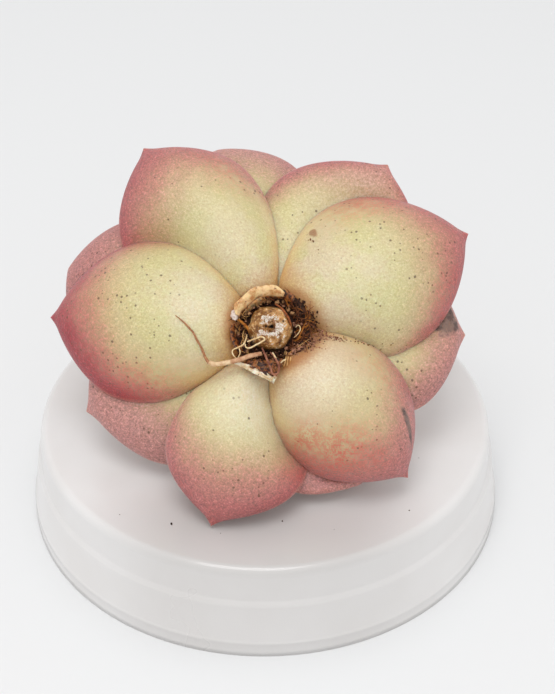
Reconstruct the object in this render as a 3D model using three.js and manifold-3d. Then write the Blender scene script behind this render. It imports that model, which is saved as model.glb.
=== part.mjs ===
// A bare-root succulent rosette, turned over and resting on a shallow upturned dish.
// Units are millimetres and +Z is up. The origin is the centre of the dish's foot, on the table.
// The plant is modelled upright in its own frame, with the cut end of its stem at z = 0 and its face up.
// Its group then turns it over and leans it back, so that its underside looks forwards and up.
import * as THREE from "three";
import { mergeVertices } from "three/addons/utils/BufferGeometryUtils.js";
import Module from "manifold-3d";

const wasm = await Module();
wasm.setup();

// ---- driving dimensions ----
const GAP = 0.3; // clearance kept between neighbouring solids
const DISH = { topRadius: 45, footRadius: 47.5, height: 19.5, wall: 1.3, corner: 1.8 };
const STEM = { stubRadius: 4.3, coreRadius: 6, shoulder: 5, length: 17 };
// Where the cut end of the stem sits, and how far its axis leans from the vertical.
const POSE = { lean: 44, x: 1.2, y: -15.2, z: 52.5 };

// ---- the rosette: leaves in a spiral, oldest and lowest first ----
const LEAVES = { count: 27, firstHeading: 49, goldenAngle: 137.5 };
const OLDEST = { length: 36, width: 28, thickness: 10, rise: 3, curl: 20, cup: 0.15, seat: 5.4, root: 5.4 };
const YOUNGEST = { length: 17, width: 7, thickness: 3.4, rise: 84, curl: 6, cup: 0.1, seat: 15, root: 1.6 };

// What sets single leaves apart from the even spiral, by their place in it.
const ODD_LEAVES = {
  0: { turn: -3, length: 32, width: 26, rise: 4 },
  1: { turn: -1, length: 37.5, width: 31.4, bow: 0.7, rise: 4, baseWidth: 0.3, widest: 0.52 },
  2: { turn: 8, length: 38, width: 31.4, bow: -1.3, rise: 2 },
  3: { turn: 5.5, length: 32, width: 26.6, bow: -0.7, rise: -3, cup: 0.02, baseWidth: 0.28, widest: 0.56 },
  4: { turn: -2.5, length: 40, width: 28.8, rise: 2, baseWidth: 0.3, widest: 0.58 },
  5: { turn: -18, length: 33.5, width: 30, rise: 8, tip: 4.5 },
  6: { turn: 5, length: 34.5, width: 33.5, rise: 10, tip: 3.4 },
  7: { turn: 12, length: 37, width: 33, rise: 4, widest: 0.56 },
  8: { turn: -10, length: 29, width: 26, rise: 3, cup: 0.02, tip: 5, mucro: 0 },
  9: { turn: -6, length: 41, width: 31, rise: 12, tip: 5, mucro: 0 },
  11: { length: 23 },
  12: { turn: -4, length: 40, width: 31, rise: 14, tip: 6, mucro: 0 },
  16: { length: 22 },
};

const degrees = THREE.MathUtils.degToRad;
const mix = THREE.MathUtils.lerp;

// The sizes of leaf number i: an even run from oldest to youngest, with the odd ones' own values on top.
function leafSizes(i) {
  const age = i / (LEAVES.count - 1);
  const sizes = {};
  for (const key of Object.keys(OLDEST)) sizes[key] = mix(OLDEST[key], YOUNGEST[key], age);
  sizes.length = mix(OLDEST.length, YOUNGEST.length, age ** 0.8);
  sizes.width = mix(OLDEST.width, YOUNGEST.width, age ** 1.3);
  sizes.heading = LEAVES.firstHeading + LEAVES.goldenAngle * i;
  Object.assign(sizes, ODD_LEAVES[i] ?? {});
  sizes.heading += sizes.turn ?? 0;
  return sizes;
}

// Half the width and half the thickness along a leaf, as shares of the widest, from base (0) to tip (1).
// A higher "tip" makes a blunter leaf, and "bow" is how far a leaf's midrib bends to one side, in mm.
const BLADE = {
  baseWidth: 0.42, widest: 0.46, tip: 2.5, bow: 0,
  baseThickness: 0.42, thickest: 0.42, mucro: 1,
};
// How much of the thickness lies on the face and on the underside, and how lens-like the section is.
const SECTION = { face: 0.25, underside: 0.75, lens: 0.25 };
function widthShare(l, { baseWidth, widest, tip }) {
  if (l < widest) return mix(baseWidth, 1, Math.sin((Math.PI / 2) * (l / widest)) ** 0.85);
  return 1 - ((l - widest) / (1 - widest)) ** tip;
}
function thicknessShare(l) {
  if (l < BLADE.thickest) return mix(BLADE.baseThickness, 1, Math.sin((Math.PI / 2) * (l / BLADE.thickest)));
  return (1 - ((l - BLADE.thickest) / (1 - BLADE.thickest)) ** 2.2) ** 0.75;
}

// One plump leaf along +X with its underside towards -Z: a sphere whose rings become the leaf's sections
// and whose poles become its base and tip. "grow" swells the whole leaf by that much.
function leafGeometry(size, grow = 0) {
  const geometry = plain(new THREE.SphereGeometry(1, ...(size.width > 22 ? [16, 12] : [12, 8])));
  const p = geometry.attributes.position;
  const rise = degrees(size.rise);
  const curl = degrees(size.curl);
  const bend = size.length / curl; // radius of the midrib's arc
  const outline = { ...BLADE, ...size };
  for (let i = 0; i < p.count; i++) {
    const along = p.getY(i);
    const l = (1 - along) / 2;
    const ring = Math.hypot(p.getX(i), p.getZ(i));
    const pole = ring < 1e-6;
    const side = pole ? 0 : p.getX(i) / ring;
    const face = pole ? 0 : p.getZ(i) / ring;
    const across = side * ((size.width / 2) * widthShare(l, outline) + grow);
    const share = face > 0 ? SECTION.face : SECTION.underside;
    const half = size.thickness * share * thicknessShare(l) * Math.abs(face) ** SECTION.lens + grow;
    const off = face * half + size.cup * size.width * (across / (size.width / 2)) ** 2;
    const reach = pole ? (l > 0.5 ? outline.mucro + grow : -grow) : 0;
    const angle = rise + curl * l;
    const x = bend * (Math.sin(angle) - Math.sin(rise)) + reach * Math.cos(angle) - off * Math.sin(angle);
    const z = bend * (Math.cos(rise) - Math.cos(angle)) + reach * Math.sin(angle) + off * Math.cos(angle);
    p.setXYZ(i, x, across + outline.bow * Math.sin(Math.PI * l), z);
  }
  geometry.translate(size.root, 0, size.seat);
  geometry.rotateZ(degrees(size.heading));
  return geometry;
}

// ---- helpers: closed geometry in and out of the boolean library ----
function plain(geometry) {
  geometry.deleteAttribute("normal");
  geometry.deleteAttribute("uv");
  return mergeVertices(geometry, 1e-4);
}
function solidOf(geometry) {
  const merged = plain(geometry.clone());
  return new wasm.Manifold(
    new wasm.Mesh({
      numProp: 3,
      vertProperties: new Float32Array(merged.attributes.position.array),
      triVerts: new Uint32Array(merged.index.array),
    }),
  );
}
function geometryOf(solid) {
  const mesh = solid.getMesh();
  const geometry = new THREE.BufferGeometry();
  geometry.setAttribute("position", new THREE.BufferAttribute(new Float32Array(mesh.vertProperties), 3));
  geometry.setIndex(new THREE.BufferAttribute(new Uint32Array(mesh.triVerts), 1));
  return geometry;
}
// What is left of a solid once every one of the others is cut away, and only its biggest piece.
function cutBack(geometry, others) {
  let solid = solidOf(geometry);
  for (const other of others) solid = solid.subtract(other);
  return solid.decompose().sort((a, b) => b.volume() - a.volume())[0];
}

// A root: a cylinder bent along a smooth curve, thinning from its first radius to its last.
function rootGeometry(points, thick, thin, grow = 0) {
  const curve = new THREE.CatmullRomCurve3(points.map((xyz) => new THREE.Vector3(...xyz)));
  const steps = points.length * 3;
  const frames = curve.computeFrenetFrames(steps);
  const geometry = plain(new THREE.CylinderGeometry(1, 1, 1, 6, steps));
  const p = geometry.attributes.position;
  for (let i = 0; i < p.count; i++) {
    const t = 0.5 - p.getY(i);
    const step = Math.round(t * steps);
    const radius = mix(thick, thin, t) + grow;
    const at = curve.getPointAt(t);
    at.addScaledVector(frames.normals[step], p.getX(i) * radius);
    at.addScaledVector(frames.binormals[step], p.getZ(i) * radius);
    p.setXYZ(i, at.x, at.y, at.z);
  }
  return geometry;
}

// A flat plate in the plant's XY plane, with its corners in order round its rim.
function plateGeometry(outline, bottom, thickness) {
  const shape = new THREE.Shape(outline.map(([x, y]) => new THREE.Vector2(x, y)));
  const plate = new THREE.ExtrudeGeometry(shape, { depth: thickness, bevelEnabled: false });
  return plate.translate(0, 0, bottom);
}

// A small round lump: where its centre is, and its half-sizes.
function blob(centre, halves, grow = 0) {
  const geometry = new THREE.SphereGeometry(1, 10, 7);
  geometry.scale(...halves.map((half) => half + grow));
  return geometry.translate(...centre);
}

// Part of a ring, between two radii and two compass headings.
function ringPart(inner, outer, from, to, bottom, thickness) {
  const shape = new THREE.Shape();
  shape.absarc(0, 0, outer, degrees(from), degrees(to), false);
  shape.absarc(0, 0, inner, degrees(to), degrees(from), true);
  const options = { depth: thickness, bevelEnabled: false, curveSegments: 10 };
  const ring = new THREE.ExtrudeGeometry(shape, options);
  return ring.translate(0, 0, bottom);
}

function turned(profile, segments) {
  const lathe = new THREE.LatheGeometry(profile.map(([r, z]) => new THREE.Vector2(r, z)), segments);
  return lathe.rotateX(Math.PI / 2);
}

const wholeRing = (inner, outer, bottom, top) =>
  turned([[inner, bottom], [outer, bottom], [outer, top], [inner, top], [inner, bottom]], 24);

// ---- stem: a blunt stub, then the hidden core that carries the leaves ----
function stemGeometry(grow = 0) {
  const { stubRadius, coreRadius, shoulder, length } = STEM;
  return turned(
    [
      [0, -grow],
      [stubRadius * 0.72 + grow, -grow],
      [stubRadius + grow, 1.1],
      [stubRadius + grow, shoulder - 1.4 - grow],
      [coreRadius + grow, shoulder - grow],
      [coreRadius + grow, shoulder + 3],
      [coreRadius * 0.4 + grow, length - 1],
      [0, length + grow],
    ],
    20,
  );
}

// ---- dish: a shallow moulded tub, mouth down, with a step in its wall and a bead above its foot ----
function dishGeometry() {
  const { topRadius, footRadius, height, wall, corner } = DISH;
  const step = height * 0.59;
  const profile = [[0, height]];
  for (let k = 0; k <= 4; k++) {
    const a = degrees(90 - k * 22);
    profile.push([topRadius - corner + corner * Math.cos(a), height - corner + corner * Math.sin(a)]);
  }
  profile.push(
    [topRadius + 0.5, step + 0.7],
    [topRadius + 1.1, step],
    [footRadius - 0.6, 3.4],
    [footRadius, 2.9],
    [footRadius - 0.3, 2.3],
    [footRadius, 0],
    [footRadius - wall - 0.6, 0],
    [footRadius - wall - 0.6, 2],
    [topRadius + 0.9 - wall, step - 0.6],
    [topRadius - wall, step + 0.2],
    [topRadius - wall - 0.3, height - corner - 0.6],
    [topRadius - wall - 1.4, height - wall],
    [0, height - wall],
  );
  return turned(profile.reverse(), 64);
}

// ---- materials ----
const materialOf = (color, roughness) => new THREE.MeshStandardMaterial({ color, roughness, metalness: 0 });
const leafMaterial = materialOf(0xd8c79a, 0.5);
const barkMaterial = materialOf(0x8a6238, 0.85);
const darkMaterial = materialOf(0x3a2416, 0.95);
const huskMaterial = materialOf(0xd3a76a, 0.8);
const rootMaterial = materialOf(0xc99f76, 0.75);
const dishMaterial = materialOf(0xe6e5e3, 0.4);

// ---- assembly ----
function namedMesh(name, geometry, material) {
  const mesh = new THREE.Mesh(geometry, material);
  mesh.name = name;
  return mesh;
}
const part = new THREE.Group();
part.add(namedMesh("dish", dishGeometry(), dishMaterial));

const plant = new THREE.Group();
plant.position.set(POSE.x, POSE.y, POSE.z);
plant.rotation.x = Math.PI + degrees(POSE.lean);
part.add(plant);

plant.add(namedMesh("stem", stemGeometry(), barkMaterial));
const taken = [solidOf(stemGeometry(GAP))]; // what later pieces must keep clear of
for (let i = 0; i < LEAVES.count; i++) {
  const size = leafSizes(i);
  const leaf = cutBack(leafGeometry(size), taken);
  plant.add(namedMesh(`leaf_${String(i + 1).padStart(2, "0")}`, geometryOf(leaf), leafMaterial));
  taken.push(solidOf(leafGeometry(size, GAP)));
}

// Each small piece round the stub: its name, its material and its shape, which can be asked for with the
// clearance on.
const LONG_ROOT = [
  [-2, 5.2, 1.7], [-5.4, 6, 0.8], [-8.4, 6.8, 0.4], [-11, 7, 0.3],
  [-12.6, 4.9, 0.3], [-14, 2.2, 0.2], [-15.8, 0.3, 0.1], [-17.4, -1.5, 0],
];
const LOOPED_ROOT = [
  [-3, 4.6, 0.9], [-4.4, 3.8, 0.4], [-3.2, 2.9, 0.1], [-1.6, 2.2, -0.9], [-0.9, 2.9, -0.9],
  [-2.4, 3.7, 0], [-4.2, 4.4, -0.2], [-6.6, 4.6, 0.2], [-6.3, 5.4, 0],
];
const CURLED_ROOT = [[4.9, -0.4, 2.2], [5.7, -0.6, 1.4], [6, 0.4, 1.1], [5.4, 1.3, 1.5]];
const FLAKE = [[-7, 6.4], [-3.6, 5.6], [0, 5.3], [2.8, 5.2], [1.4, 8.6], [0.6, 10.2], [-2.6, 7.8]];
const baseRing = (grow) => ringPart(5.2 - grow, 7 + grow, 195, 315, 0.8 - grow, 1.6 + 2 * grow);
const trims = [
  ["root_collar", darkMaterial, (grow) => wholeRing(4.7 - grow, 6.2 + grow, 2.9 - grow, 3.5 + grow)],
  ["dry_leaf_base_ring", huskMaterial, baseRing],
  ["dry_leaf_base_flake", huskMaterial, (grow) => plateGeometry(FLAKE, 1.6 - grow, 0.4 + 2 * grow)],
  ["white_callus", rootMaterial, (grow) => blob([-6.6, -1.8, 1.6], [0.9, 0.9, 0.8], grow)],
  ["root_crumbs", barkMaterial, (grow) => blob([8.8, 1.6, 3.2], [3.2, 1.6, 1.6], grow)],
  ["long_root", rootMaterial, (grow) => rootGeometry(LONG_ROOT, 0.5, 0.22, grow)],
  ["looped_root", rootMaterial, (grow) => rootGeometry(LOOPED_ROOT, 0.22, 0.2, grow)],
  ["curled_root", rootMaterial, (grow) => rootGeometry(CURLED_ROOT, 0.2, 0.16, grow)],
];
for (const [name, material, shape] of trims) {
  plant.add(namedMesh(name, geometryOf(cutBack(shape(0), taken)), material));
  taken.push(solidOf(shape(GAP)));
}

export default part;
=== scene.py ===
# %% [markdown]
# # A bare-root succulent rosette on an upturned dish
# The object is a live plant without its pot: a rosette of plump leaves, turned over so that its cut stem,
# its dry leaf bases and its fine roots face up and forwards. It rests on a shallow frosted plastic dish
# that stands mouth-down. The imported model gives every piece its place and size. This script makes the
# surfaces: leaves with their blush and speckles, corky bark, papery husks, hair roots and milky plastic.

# %% Load the fixed model
import math
import random

import bmesh
import bpy
from mathutils import Euler, Matrix, Vector, noise
from mathutils.bvhtree import BVHTree


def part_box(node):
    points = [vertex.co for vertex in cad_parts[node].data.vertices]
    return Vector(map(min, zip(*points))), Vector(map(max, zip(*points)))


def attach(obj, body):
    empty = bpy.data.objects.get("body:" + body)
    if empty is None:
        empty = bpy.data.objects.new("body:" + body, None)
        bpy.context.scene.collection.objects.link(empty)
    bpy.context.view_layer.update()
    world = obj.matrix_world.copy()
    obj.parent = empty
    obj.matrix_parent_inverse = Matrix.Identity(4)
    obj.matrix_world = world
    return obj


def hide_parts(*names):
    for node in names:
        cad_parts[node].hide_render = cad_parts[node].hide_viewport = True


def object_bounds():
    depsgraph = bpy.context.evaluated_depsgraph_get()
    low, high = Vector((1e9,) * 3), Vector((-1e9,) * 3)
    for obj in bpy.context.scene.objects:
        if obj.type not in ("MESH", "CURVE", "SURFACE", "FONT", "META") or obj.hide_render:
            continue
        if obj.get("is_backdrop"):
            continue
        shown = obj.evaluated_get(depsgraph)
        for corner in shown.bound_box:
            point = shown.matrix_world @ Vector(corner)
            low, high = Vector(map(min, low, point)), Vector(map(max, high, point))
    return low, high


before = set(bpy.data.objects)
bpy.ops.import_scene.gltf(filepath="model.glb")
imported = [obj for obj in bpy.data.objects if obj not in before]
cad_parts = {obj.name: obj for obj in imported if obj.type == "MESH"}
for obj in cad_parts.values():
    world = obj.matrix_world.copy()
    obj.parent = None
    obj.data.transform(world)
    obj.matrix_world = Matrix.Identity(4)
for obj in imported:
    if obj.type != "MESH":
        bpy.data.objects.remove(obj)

cad_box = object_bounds()
MM = 0.001  # a millimetre, in metres
print("the model's nodes:", len(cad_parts))

# %% [markdown]
# ## Two frames
# The row's frame has +Z up and the dish's foot at z = 0. The plant is easier to think about upright, with
# the cut end of its stem at the origin and its face up, so its pieces are shaped in that frame, in
# millimetres, and one matrix then turns the plant over, leans it and sets it on the dish.

# %% Where the plant sits
LEAN = math.radians(44)  # of the plant, from straight upside down
STEM_END = Vector((1.2, -15.2, 52.5))  # its cut end, in the row's frame, in millimetres
plant_to_row = (
    Matrix.Scale(MM, 4) @ Matrix.Translation(STEM_END) @ Matrix.Rotation(math.pi + LEAN, 4, "X")
)


def smooth(x):
    """A number from 0 to 1, eased at both ends."""
    x = min(max(x, 0.0), 1.0)
    return x * x * (3 - 2 * x)


def mix(a, b, share):
    """The number that is this share of the way from a to b."""
    return a + (b - a) * share


print("the cut end of the stem is at", [round(c, 4) for c in plant_to_row @ Vector((0, 0, 0))])

# %% [markdown]
# ## Materials as expressions
# A procedural material is arithmetic on fields: places, noises and distances. Written as node links it is
# hard to read, so a small class wraps a socket and gives it +, -, * and /. Each use adds a Math node.

# %% A socket that does arithmetic
class Field:
    """A value that varies over a surface: one output socket of a shader's node."""

    def __init__(self, shader, socket):
        self.shader = shader
        self.socket = socket

    def __add__(self, other):
        return self.shader.math("ADD", self, other)

    def __sub__(self, other):
        return self.shader.math("SUBTRACT", self, other)

    def __rsub__(self, other):
        return self.shader.math("SUBTRACT", other, self)

    def __mul__(self, other):
        return self.shader.math("MULTIPLY", self, other)

    def __truediv__(self, other):
        return self.shader.math("DIVIDE", self, other)

    def __abs__(self):
        return self.shader.math("ABSOLUTE", self)

    __radd__ = __add__
    __rmul__ = __mul__

    def between(self, low, high):
        """0 below low, 1 above high, eased in between."""
        values = {"Value": self, "From Min": low, "From Max": high}
        return self.shader.node("ShaderNodeMapRange", values, interpolation_type="SMOOTHSTEP")


class Shader:
    """A material with one Principled BSDF, and short ways to add the nodes that feed it."""

    def __init__(self, name, **constants):
        self.material = bpy.data.materials.new(name)
        self.material.use_nodes = True
        self.tree = self.material.node_tree
        self.surface = self.tree.nodes["Principled BSDF"]
        for name, value in constants.items():
            socket = name.replace("_", " ").title().replace("Ior", "IOR")
            self.surface.inputs[socket].default_value = value

    def node(self, kind, values=None, output=0, stops=None, **settings):
        """Adds a node: its settings, its ramp's stops, then the values or links of its sockets."""
        made = self.tree.nodes.new(kind)
        for name, value in settings.items():
            setattr(made, name, value)
        if stops:
            while len(made.color_ramp.elements) < len(stops):
                made.color_ramp.elements.new(0.5)
            for element, (place, colour) in zip(made.color_ramp.elements, stops):
                element.position = place
                element.color = (*colour, 1)
        for name, value in (values or {}).items():
            self.feed(made.inputs[name], value)
        return Field(self, made.outputs[output])

    def feed(self, socket, value):
        """Gives a socket a field to follow, or a constant."""
        if isinstance(value, Field):
            self.tree.links.new(value.socket, socket)
        elif socket.type == "RGBA":
            socket.default_value = (*value, 1)
        else:
            socket.default_value = value

    def math(self, operation, *values):
        return self.node("ShaderNodeMath", dict(enumerate(values)), operation=operation)

    def mix(self, share, a, b, blend="MIX"):
        """A colour between a and b."""
        values = {0: share, 6: a, 7: b}  # the Mix node's sockets for colours
        return self.node("ShaderNodeMix", values, output=2, data_type="RGBA", blend_type=blend)

    def place(self):
        """The point on the object, in metres in the row's frame."""
        return self.node("ShaderNodeTexCoord", output="Object")

    def noise(self, where, size_mm, detail=2.0, rough=0.5):
        """Cloudy noise whose lumps are about size_mm across."""
        values = {"Vector": where, "Scale": 1 / (size_mm * MM), "Detail": detail, "Roughness": rough}
        return self.node("ShaderNodeTexNoise", values)

    def attribute(self, name):
        """The three numbers that a piece's mesh stores under this name, as fields."""
        vector = self.node("ShaderNodeAttribute", output="Vector", attribute_name=name)
        return [self.node("ShaderNodeSeparateXYZ", {0: vector}, output=axis) for axis in "XYZ"]

    def ramp(self, value, stops):
        return self.node("ShaderNodeValToRGB", {0: value}, stops=stops)

    def finish(self, colour=None, roughness=None, height=None, height_mm=0.1):
        """Links what varies to the surface, and gives the material."""
        if colour:
            self.feed(self.surface.inputs["Base Color"], colour)
        if roughness:
            self.feed(self.surface.inputs["Roughness"], roughness)
        if height:
            values = {"Height": height, "Distance": height_mm * MM}
            self.feed(self.surface.inputs["Normal"], self.node("ShaderNodeBump", values, output="Normal"))
        print("material:", self.material.name, len(self.tree.nodes), "nodes")
        return self.material


def tone(red, green, blue):
    """A colour given on a screen's scale, 0 to 255, as the linear numbers that a shader takes."""
    return tuple(((c / 255 + 0.055) / 1.055) ** 2.4 for c in (red, green, blue))


# %% [markdown]
# ## Finishing a piece
# Every piece ends the same way: its bmesh is turned from the plant's frame into the row's, becomes a mesh
# at the origin, gets its material, rides on the one body, and may replace pieces of the
# imported model.

# %% From a bmesh to a piece
def finish_piece(name, bm, material, replaced=(), subdivide=0, in_plant=True):
    """Makes a piece of a bmesh, which is in the plant's frame unless in_plant is False."""
    if in_plant:
        bmesh.ops.transform(bm, matrix=plant_to_row, verts=bm.verts)
    mesh = bpy.data.meshes.new(name)
    bm.to_mesh(mesh)
    bm.free()
    mesh.shade_smooth()
    piece = bpy.data.objects.new(name, mesh)
    bpy.context.scene.collection.objects.link(piece)
    piece.data.materials.append(material)
    print("piece:", name, len(mesh.polygons), "faces")
    if subdivide:
        modifier = piece.modifiers.new("finer", "SUBSURF")
        modifier.levels = modifier.render_levels = subdivide
    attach(piece, "root")
    if replaced:
        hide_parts(*replaced)


# %% [markdown]
# ## The camera and the stage
# The view looks down on the dish at about 37 degrees through a long lens, which keeps the dish's ellipse
# calm. The stage is a pale table under an even white sky, with one soft light overhead for the highlights
# and a faint one in front, which opens the shadows under the plant.

# %% Camera
scene = bpy.context.scene
scene.view_settings.view_transform = "Standard"
LOOK_AT = Vector((0.0025, 0, 0.036))
LOOK_DOWN = math.radians(37.4)
DISTANCE = 0.319
SENSOR_MM, LENS_MM = 36, 84.7
NEAREST = 0.01  # what is closer than this, in metres, isn't drawn
camera = bpy.data.objects.new("camera", bpy.data.cameras.new("camera"))
camera.location = LOOK_AT + DISTANCE * Vector((0, -math.cos(LOOK_DOWN), math.sin(LOOK_DOWN)))
camera.rotation_euler = Euler((math.pi / 2 - LOOK_DOWN, 0, 0))
camera.data.sensor_width = SENSOR_MM
camera.data.lens = LENS_MM
camera.data.clip_start = NEAREST
scene.collection.objects.link(camera)
scene.camera = camera
print("camera", DISTANCE, "m away")

# %% Table and lights
TABLE_HALF = 1.5
TABLE_COLOUR = (0.8, 0.805, 0.81, 1)
SKY_STRENGTH = 0.82
bm = bmesh.new()
bmesh.ops.create_grid(bm, x_segments=1, y_segments=1, size=TABLE_HALF)
mesh = bpy.data.meshes.new("table")
bm.to_mesh(mesh)
bm.free()
table = bpy.data.objects.new("table", mesh)
scene.collection.objects.link(table)
table.data.materials.append(Shader("pale_table", base_color=TABLE_COLOUR, roughness=0.6).finish())
table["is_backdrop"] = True

world = bpy.data.worlds.new("soft_sky")
world.use_nodes = True
world.node_tree.nodes["Background"].inputs["Color"].default_value = (1, 1, 1, 1)
world.node_tree.nodes["Background"].inputs["Strength"].default_value = SKY_STRENGTH
scene.world = world


def softbox(name, where, power, size):
    """A square light, of so many watts and metres, that looks at the dish."""
    lamp = bpy.data.objects.new(name, bpy.data.lights.new(name, "AREA"))
    lamp.data.energy = power
    lamp.data.size = size
    lamp.location = where
    lamp.rotation_euler = (LOOK_AT - lamp.location).to_track_quat("-Z", "Y").to_euler()
    scene.collection.objects.link(lamp)


softbox("overhead", Vector((-0.05, -0.2, 0.7)), 1.6, 0.35)
softbox("front", Vector((-0.08, -0.6, 0.5)), 0.35, 0.6)
print("table, sky and", len(bpy.data.lights), "lights")

# %% [markdown]
# ## The leaf's shape
# A leaf of this kind is a plump spoon: narrow at its base, widest near the middle, drawn to a small hard
# point, rounded underneath and flatter on its face, with a midrib that curves up. A UV sphere already has
# the right rings, from pole to pole, so each ring is moved to become one cross-section of the leaf.

# %% The spiral of leaves
LEAVES = 27
FIRST_HEADING = 49
GOLDEN_ANGLE = 137.5
LENGTHS = (36, 17)  # of the oldest and the youngest
WIDTHS = (28, 7)
OLDEST = {"thickness": 10, "rise": 3, "curl": 20, "cup": 0.15, "seat": 5.4, "root": 5.4}
YOUNGEST = {"thickness": 3.4, "rise": 84, "curl": 6, "cup": 0.1, "seat": 15, "root": 1.6}
OWN_SIZES = {  # what sets single leaves apart from the even run
    0: {"turn": -3, "length": 32, "width": 26, "rise": 4},
    1: {"turn": -1, "length": 37.5, "width": 31.4, "bow": 0.7, "rise": 4, "base_width": 0.3, "widest": 0.52},
    2: {"turn": 8, "length": 38, "width": 31.4, "bow": -1.3, "rise": 2},
    3: {
        "turn": 5.5, "length": 32, "width": 26.6, "bow": -0.7, "rise": -3, "cup": 0.02,
        "base_width": 0.28, "widest": 0.56,
    },
    4: {"turn": -2.5, "length": 40, "width": 28.8, "rise": 2, "base_width": 0.3, "widest": 0.58},
    5: {"turn": -18, "length": 33.5, "width": 30, "rise": 8, "tip": 4.5},
    6: {"turn": 5, "length": 34.5, "width": 33.5, "rise": 10, "tip": 3.4},
    7: {"turn": 12, "length": 37, "width": 33, "rise": 4, "widest": 0.56},
    8: {"turn": -10, "length": 29, "width": 26, "rise": 3, "cup": 0.02, "tip": 5, "mucro": 0},
    9: {"turn": -6, "length": 41, "width": 31, "rise": 12, "tip": 5, "mucro": 0},
    11: {"length": 23},
    12: {"turn": -4, "length": 40, "width": 31, "rise": 14, "tip": 6, "mucro": 0},
    16: {"length": 22},
}
# Of every leaf without its own: the width at the base as a share of the widest, where along it is widest,
# how blunt it is, how far its midrib bends to one side, and how long its small hard point is, both in mm.
BLADE = {"base_width": 0.42, "widest": 0.46, "tip": 2.5, "bow": 0, "mucro": 0.9}
BASE_THICKNESS = 0.42  # as a share of the greatest
THICKEST = 0.42  # where along the leaf
POINT_FROM = 0.965  # where along the leaf the small hard point starts
FACE_SHARE = 0.25  # of the thickness; the rest is on the underside
LENS = 0.25  # how lens-like a cross-section is, from an ellipse at 0


def leaf_sizes(i):
    """The sizes of leaf i in millimetres and degrees, oldest first."""
    age = i / (LEAVES - 1)
    sizes = {key: mix(OLDEST[key], YOUNGEST[key], age) for key in OLDEST}
    sizes["length"] = mix(*LENGTHS, age**0.8)
    sizes["width"] = mix(*WIDTHS, age**1.3)
    sizes["heading"] = FIRST_HEADING + GOLDEN_ANGLE * i
    sizes.update(BLADE)
    sizes.update(OWN_SIZES.get(i, {}))
    sizes["heading"] += sizes.get("turn", 0)
    return sizes


print("lengths:", [round(leaf_sizes(i)["length"], 1) for i in range(LEAVES)])


# %% One blade
def width_share(l, size):
    """Half the width at l, from the base (0) to the tip (1), as a share of the widest."""
    widest = size["widest"]
    if l < widest:
        return mix(size["base_width"], 1, math.sin(math.pi / 2 * l / widest) ** 0.85)
    return 1 - ((l - widest) / (1 - widest)) ** size["tip"]


def thickness_share(l):
    """Half the thickness at l, as a share of the greatest."""
    if l < THICKEST:
        return mix(BASE_THICKNESS, 1, math.sin(math.pi / 2 * l / THICKEST))
    return (1 - ((l - THICKEST) / (1 - THICKEST)) ** 2.2) ** 0.75


def shape_leaf(i, size, around, rings):
    """A bmesh of leaf i in the plant's frame, with each vertex's place on the blade stored beside it."""
    bm = bmesh.new()
    bmesh.ops.create_uvsphere(bm, u_segments=around, v_segments=rings, radius=1)
    blade = bm.verts.layers.float_vector.new("blade")
    rise = math.radians(size["rise"])
    curl = math.radians(size["curl"])
    bend = size["length"] / curl
    seed = Vector((i * 7.3, i * 3.1, 0))
    for vert in bm.verts:
        l = (1 - vert.co.z) / 2
        ring = math.hypot(vert.co.x, vert.co.y)
        pole = ring < 1e-5
        side = 0 if pole else vert.co.x / ring
        face = 0 if pole else vert.co.y / ring
        across = side * size["width"] / 2 * width_share(l, size)
        share = FACE_SHARE if face > 0 else 1 - FACE_SHARE
        half = size["thickness"] * share * abs(face) ** LENS * thickness_share(l)
        off = face * half + size["cup"] * size["width"] * (across * 2 / size["width"]) ** 2
        reach = size["mucro"] * max(0, (l - POINT_FROM) / (1 - POINT_FROM)) ** 2
        angle = rise + curl * l
        x = bend * (math.sin(angle) - math.sin(rise)) + reach * math.cos(angle) - off * math.sin(angle)
        z = bend * (math.cos(rise) - math.cos(angle)) + reach * math.sin(angle) + off * math.cos(angle)
        swell = noise.noise(Vector((x, across, z)) / 11 + seed) * 0.5 * math.sin(math.pi * l)
        across = across * (1 + 0.02 * swell) + size["bow"] * math.sin(math.pi * l)
        vert.co = Vector((x + size["root"], across, z + swell * (face or 1) + size["seat"]))
        vert[blade] = (l, side, face)
    turn = Matrix.Rotation(math.radians(size["heading"]), 3, "Z")
    bmesh.ops.rotate(bm, matrix=turn, verts=bm.verts)
    bmesh.ops.recalc_face_normals(bm, faces=bm.faces)
    return bm


ABOVE = 80  # a height, in millimetres, that is clear of every leaf
SPREADS = 60  # how many times the bending of a pressed leaf is evened out
KEPT_LIFT = 0.99  # how much of its neighbours' lift a place takes over each time
TOUCH_GAP = 0.08  # millimetres left between two leaves


def press_back(bm, trees, thickness):
    """Bends a younger leaf back from the faces of the older ones under it, as soft leaves do."""
    blade = bm.verts.layers.float_vector["blade"]
    needed = []
    for vert in bm.verts:
        _, _, face = vert[blade]
        floor = TOUCH_GAP + FACE_SHARE * thickness * max(face, 0)
        lift = 0.0
        for tree in trees:
            skin, _, _, _ = tree.ray_cast(Vector((vert.co.x, vert.co.y, ABOVE)), Vector((0, 0, -1)))
            if skin is not None:
                lift = max(lift, skin.z + floor - vert.co.z)
        needed.append(lift)
    if not any(needed):
        return
    bm.verts.index_update()
    beside = [[edge.other_vert(vert).index for edge in vert.link_edges] for vert in bm.verts]
    lifts = list(needed)
    for _ in range(SPREADS):
        lifts = [
            max(need, KEPT_LIFT * sum(lifts[k] for k in near) / len(near))
            for need, near in zip(needed, beside)
        ]
    for vert, lift in zip(bm.verts, lifts):
        vert.co.z += lift
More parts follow.
